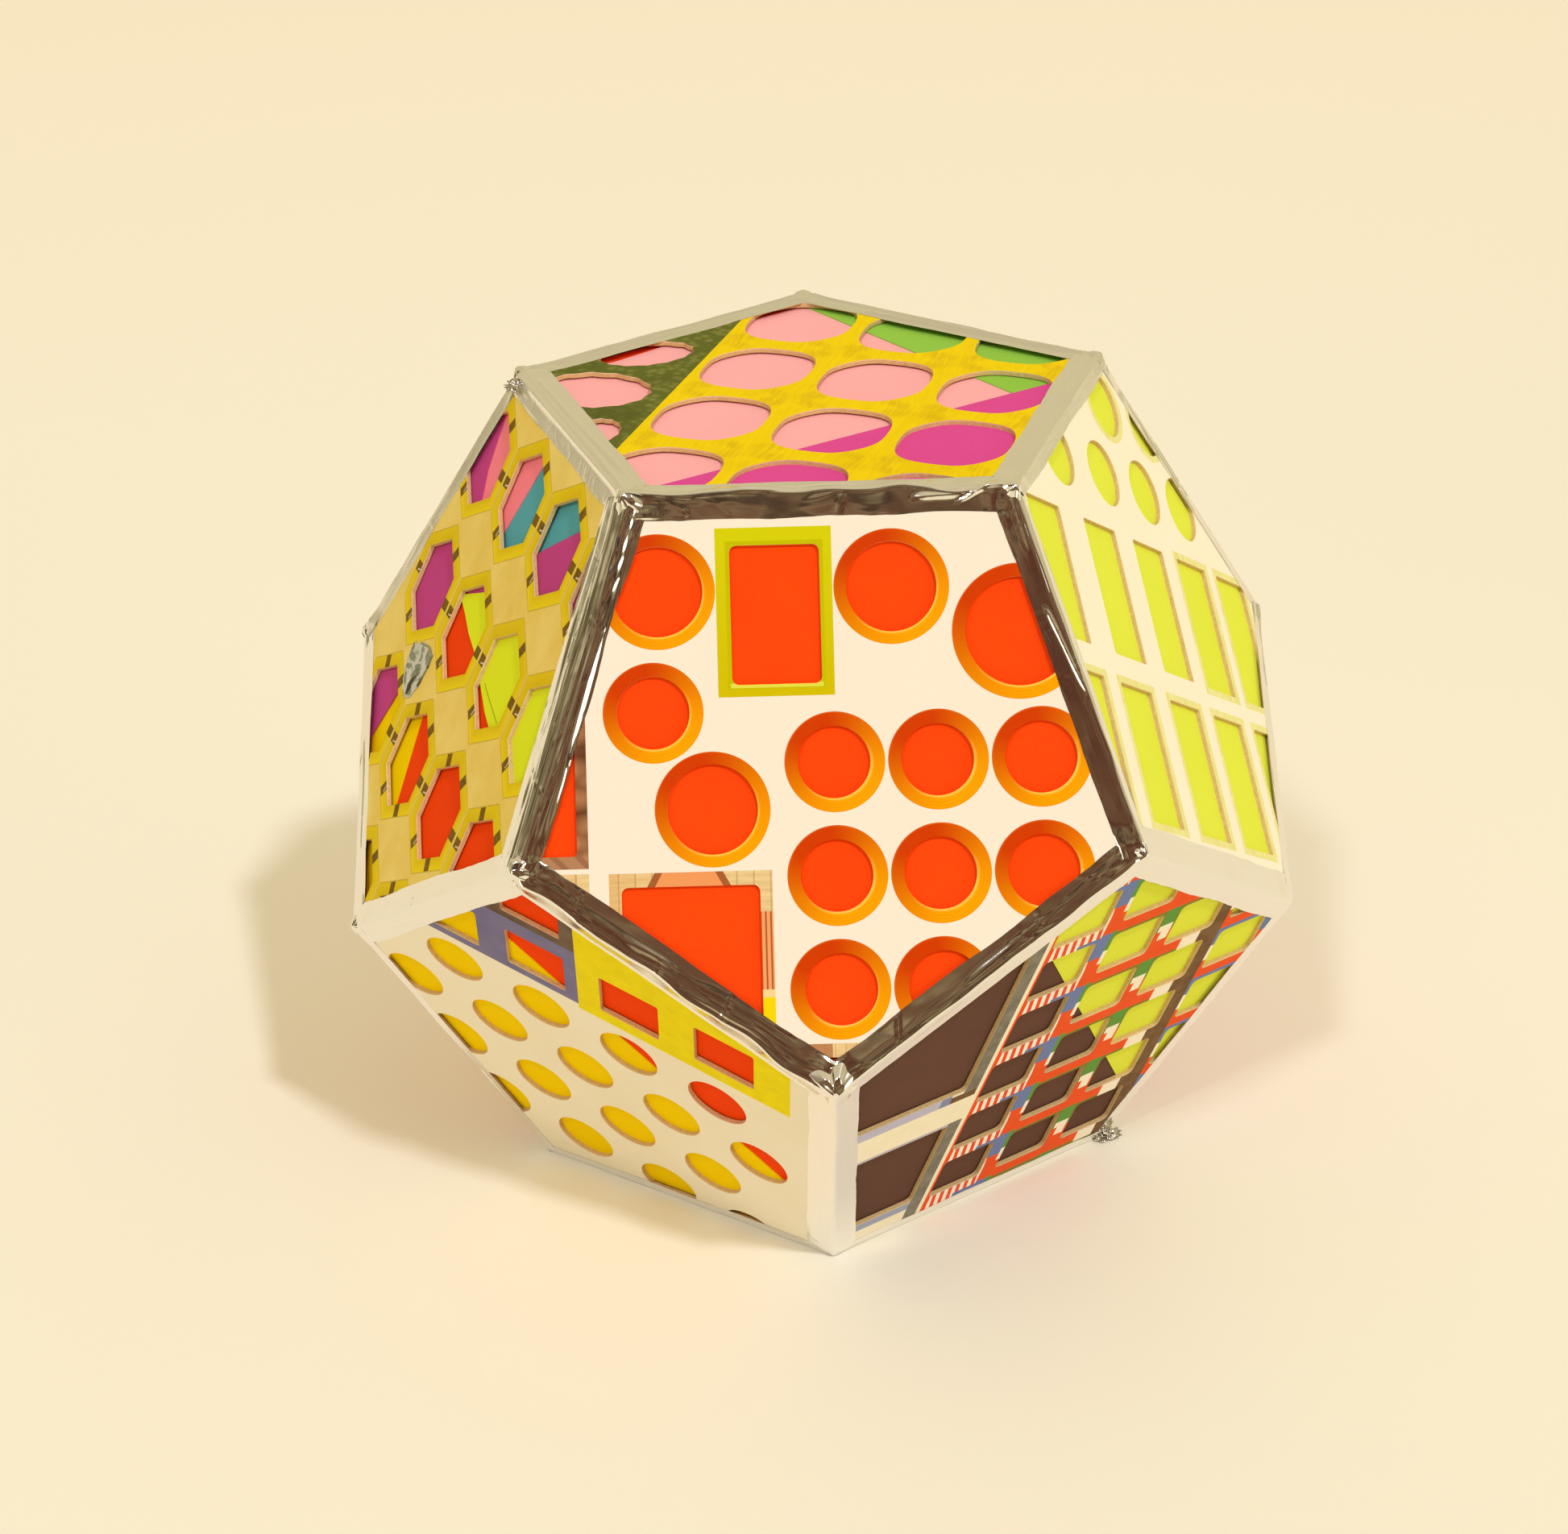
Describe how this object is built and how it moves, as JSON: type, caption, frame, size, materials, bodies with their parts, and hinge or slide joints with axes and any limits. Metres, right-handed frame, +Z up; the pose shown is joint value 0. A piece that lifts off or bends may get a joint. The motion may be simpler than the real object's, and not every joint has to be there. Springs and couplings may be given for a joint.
{
  "type": "punched-board dodecahedron",
  "caption": "Hollow closed dodecahedron of punched pentagon boards with coloured card behind the holes, joined along every edge with foil tape; rests on a face.",
  "frame": {"origin": "under the centre of the base face, on the surface it rests on", "axes": "+Z up, -Y out of the front board's side, +X to the right seen from the front"},
  "size_m": [0.2882, 0.3028, 0.2452],
  "materials": {
    "print_top": "printed satin paper on greyboard",
    "print_front": "printed satin paper on greyboard",
    "print_left": "printed satin paper on greyboard",
    "print_right": "printed satin paper on greyboard",
    "print_back_left": "printed satin paper on greyboard",
    "print_back_right": "printed satin paper on greyboard",
    "print_lower_left": "printed satin paper on greyboard",
    "print_lower_right": "printed satin paper on greyboard",
    "print_lower_back_left": "printed satin paper on greyboard",
    "print_lower_back": "printed satin paper on greyboard",
    "print_lower_back_right": "printed satin paper on greyboard",
    "print_base": "printed satin paper on greyboard",
    "card_purple": "matt coloured card",
    "card_green": "matt coloured card",
    "card_pink": "matt coloured card",
    "card_red": "matt coloured card",
    "card_lime": "matt coloured card",
    "card_teal": "matt coloured card",
    "card_yellow": "matt coloured card",
    "card_brown": "matt coloured card",
    "foil": "bright crumpled foil tape"
  },
  "bodies": {
    "root": {"board_top": "print_top", "board_front": "print_front", "board_left": "print_left", "board_right": "print_right", "board_back_left": "print_back_left", "board_back_right": "print_back_right", "board_lower_left": "print_lower_left", "board_lower_right": "print_lower_right", "board_lower_back_left": "print_lower_back_left", "board_lower_back": "print_lower_back", "board_lower_back_right": "print_lower_back_right", "board_base": "print_base", "card_top_purple": "card_purple", "card_top_green": "card_green", "card_top_pink": "card_pink", "card_top_red": "card_red", "card_front_red": "card_red", "card_left_lime": "card_lime", "card_left_purple": "card_purple", "card_left_pink": "card_pink", "card_left_red": "card_red", "card_left_teal": "card_teal", "card_left_yellow": "card_yellow", "card_right_lime": "card_lime", "card_back_left_teal": "card_teal", "card_back_right_yellow": "card_yellow", "card_lower_left_yellow": "card_yellow", "card_lower_left_red": "card_red", "card_lower_right_lime": "card_lime", "card_lower_right_brown": "card_brown", "card_lower_back_left_pink": "card_pink", "card_lower_back_red": "card_red", "card_lower_back_right_purple": "card_purple", "card_base_green": "card_green", "tape_top_front": "foil", "tape_top_right": "foil", "tape_top_back_right": "foil", "tape_top_back_left": "foil", "tape_top_left": "foil", "tape_front_right": "foil", "tape_right_back_right": "foil", "tape_back_right_back_left": "foil", "tape_back_left_left": "foil", "tape_left_front": "foil", "tape_front_lower_left": "foil", "tape_front_lower_right": "foil", "tape_right_lower_right": "foil", "tape_right_lower_back_right": "foil", "tape_back_right_lower_back_right": "foil", "tape_back_right_lower_back": "foil", "tape_back_left_lower_back": "foil", "tape_back_left_lower_back_left": "foil", "tape_left_lower_back_left": "foil", "tape_left_lower_left": "foil", "tape_lower_left_lower_right": "foil", "tape_lower_right_lower_back_right": "foil", "tape_lower_back_left_lower_left": "foil", "tape_lower_rear": "foil", "tape_base": "foil", "foil_patch": "foil"}
  },
  "joints": []
}
